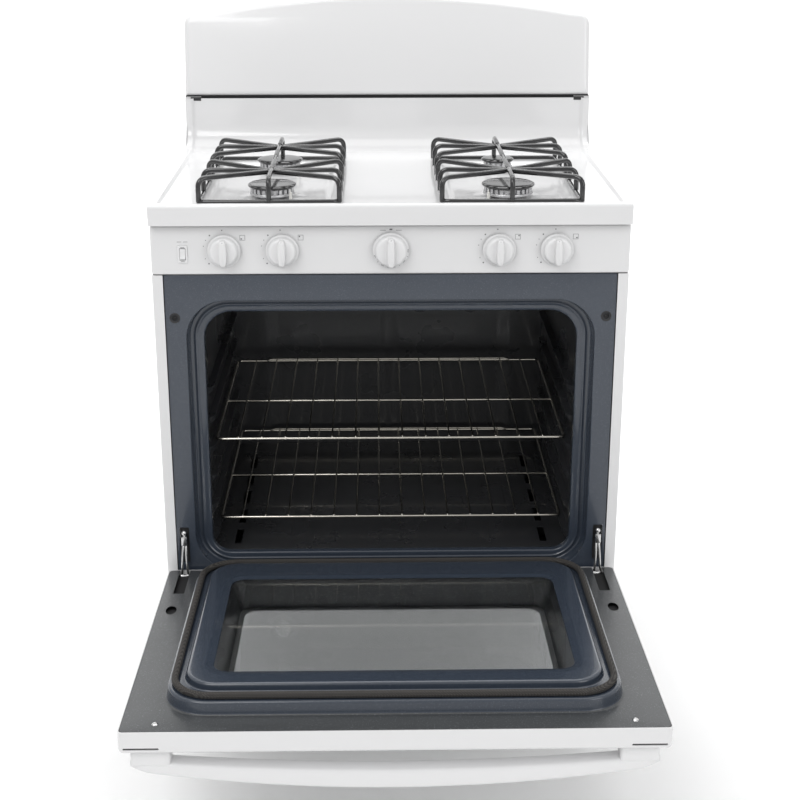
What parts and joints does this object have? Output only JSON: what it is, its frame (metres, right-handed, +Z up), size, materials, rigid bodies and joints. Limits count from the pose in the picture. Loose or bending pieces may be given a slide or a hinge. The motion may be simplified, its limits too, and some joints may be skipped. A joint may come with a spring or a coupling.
{
  "type": "freestanding gas range",
  "caption": "Freestanding white gas range with a drop-down windowed oven door, sliding wire racks, lift-off grates, turning push-in knobs and a storage drawer.",
  "frame": {"origin": "on the floor under the centre of the range's bounding box, with the oven door open", "axes": "+Z up, +X to the range's right as seen by the cook, -Y towards the cook, the way the door opens"},
  "size_m": [0.762, 1.1634, 1.19],
  "materials": {
    "white_enamel": "gloss porcelain enamel",
    "white_plastic": "satin moulded plastic",
    "blue_enamel": "speckled gloss porcelain enamel",
    "oven_enamel": "dark semi-gloss oven enamel",
    "black_enamel": "gloss black enamel",
    "steel": "plain zinc-coated steel",
    "chrome": "plated wire",
    "aluminium": "cast, satin",
    "brass": "machined",
    "gasket": "woven fibreglass braid",
    "glass": "clear toughened glass",
    "grey_plastic": "moulded"
  },
  "bodies": {
    "range_body": {"side_panel_left": "white_enamel", "side_panel_right": "white_enamel", "cooktop": "white_enamel", "control_panel": "white_enamel", "backguard_panel": "white_enamel", "backguard_support_left": "white_enamel", "backguard_support_right": "white_enamel", "light_switch_housing": "white_plastic", "oven_front_frame": "blue_enamel", "oven_liner": "oven_enamel", "oven_floor_panel": "oven_enamel", "burner_cap_left_front": "black_enamel", "burner_cap_left_rear": "black_enamel", "burner_cap_right_front": "black_enamel", "burner_cap_right_rear": "black_enamel", "base_frame": "steel", "rear_panel": "steel", "backguard_rear_cover": "steel", "gas_manifold": "steel", "oven_burner": "steel", "hinge_arm_left": "steel", "hinge_arm_right": "steel", "gas_regulator": "aluminium", "oven_thermostat": "aluminium", "burner_head_left_front": "aluminium", "burner_head_left_rear": "aluminium", "burner_head_right_front": "aluminium", "burner_head_right_rear": "aluminium", "burner_valve_left_outer": "brass", "burner_valve_left_inner": "brass", "burner_valve_right_inner": "brass", "burner_valve_right_outer": "brass", "oven_lamp": "glass", "leveling_leg_front_left": "grey_plastic", "leveling_leg_front_right": "grey_plastic", "leveling_leg_rear_left": "grey_plastic", "leveling_leg_rear_right": "grey_plastic"},
    "oven_door": {"door_outer_panel": "white_enamel", "door_inner_panel": "blue_enamel", "door_glass_outer": "glass", "door_glass_inner": "glass", "door_gasket": "gasket", "door_handle": "white_plastic"},
    "drawer": {"drawer_front": "white_enamel", "drawer_box": "steel"},
    "upper_rack_body": {"upper_rack": "chrome"},
    "lower_rack_body": {"lower_rack": "chrome"},
    "left_grate_body": {"grate_left": "black_enamel"},
    "right_grate_body": {"grate_right": "black_enamel"},
    "light_rocker_body": {"light_switch_rocker": "white_plastic"},
    "left_outer_stem_body": {"stem_left_outer": "steel"},
    "left_outer_knob_body": {"knob_left_outer": "white_plastic"},
    "left_inner_stem_body": {"stem_left_inner": "steel"},
    "left_inner_knob_body": {"knob_left_inner": "white_plastic"},
    "oven_stem_body": {"stem_oven": "steel"},
    "oven_knob_body": {"knob_oven": "white_plastic"},
    "right_inner_stem_body": {"stem_right_inner": "steel"},
    "right_inner_knob_body": {"knob_right_inner": "white_plastic"},
    "right_outer_stem_body": {"stem_right_outer": "steel"},
    "right_outer_knob_body": {"knob_right_outer": "white_plastic"}
  },
  "joints": [
    {"name": "door_hinge", "type": "hinge", "parent": "range_body", "child": "oven_door", "pos_m": [0, -0.06233, 0.273], "axis": [1, 0, 0], "range_deg": [-87.8, 0]},
    {"name": "drawer_slide", "type": "slide", "parent": "range_body", "child": "drawer", "axis": [0, -1, 0], "range_m": [0, 0.35]},
    {"name": "upper_rack_slide", "type": "slide", "parent": "range_body", "child": "upper_rack_body", "axis": [0, -1, 0], "range_m": [0, 0.28]},
    {"name": "lower_rack_slide", "type": "slide", "parent": "range_body", "child": "lower_rack_body", "axis": [0, -1, 0], "range_m": [0, 0.28]},
    {"name": "left_grate_lift", "type": "slide", "parent": "range_body", "child": "left_grate_body", "axis": [0, 0, 1], "range_m": [0, 0.12]},
    {"name": "right_grate_lift", "type": "slide", "parent": "range_body", "child": "right_grate_body", "axis": [0, 0, 1], "range_m": [0, 0.12]},
    {"name": "light_rocker", "type": "hinge", "parent": "range_body", "child": "light_rocker_body", "pos_m": [-0.33, -0.05033, 0.832], "axis": [1, 0, 0], "range_deg": [0, 16]},
    {"name": "left_outer_knob_push", "type": "slide", "parent": "range_body", "child": "left_outer_stem_body", "axis": [0, 1, 0], "range_m": [0, 0.003], "stiffness_N_per_m": 600},
    {"name": "left_outer_knob_turn", "type": "hinge", "parent": "left_outer_stem_body", "child": "left_outer_knob_body", "pos_m": [-0.264, -0.05033, 0.838], "axis": [0, -1, 0], "range_deg": [0, 140]},
    {"name": "left_inner_knob_push", "type": "slide", "parent": "range_body", "child": "left_inner_stem_body", "axis": [0, 1, 0], "range_m": [0, 0.003], "stiffness_N_per_m": 600},
    {"name": "left_inner_knob_turn", "type": "hinge", "parent": "left_inner_stem_body", "child": "left_inner_knob_body", "pos_m": [-0.172, -0.05033, 0.838], "axis": [0, -1, 0], "range_deg": [0, 140]},
    {"name": "oven_knob_push", "type": "slide", "parent": "range_body", "child": "oven_stem_body", "axis": [0, 1, 0], "range_m": [0, 0.003], "stiffness_N_per_m": 600},
    {"name": "oven_knob_turn", "type": "hinge", "parent": "oven_stem_body", "child": "oven_knob_body", "pos_m": [0, -0.05033, 0.838], "axis": [0, -1, 0], "range_deg": [0, 260]},
    {"name": "right_inner_knob_push", "type": "slide", "parent": "range_body", "child": "right_inner_stem_body", "axis": [0, 1, 0], "range_m": [0, 0.003], "stiffness_N_per_m": 600},
    {"name": "right_inner_knob_turn", "type": "hinge", "parent": "right_inner_stem_body", "child": "right_inner_knob_body", "pos_m": [0.172, -0.05033, 0.838], "axis": [0, -1, 0], "range_deg": [0, 140]},
    {"name": "right_outer_knob_push", "type": "slide", "parent": "range_body", "child": "right_outer_stem_body", "axis": [0, 1, 0], "range_m": [0, 0.003], "stiffness_N_per_m": 600},
    {"name": "right_outer_knob_turn", "type": "hinge", "parent": "right_outer_stem_body", "child": "right_outer_knob_body", "pos_m": [0.264, -0.05033, 0.838], "axis": [0, -1, 0], "range_deg": [0, 140]}
  ]
}
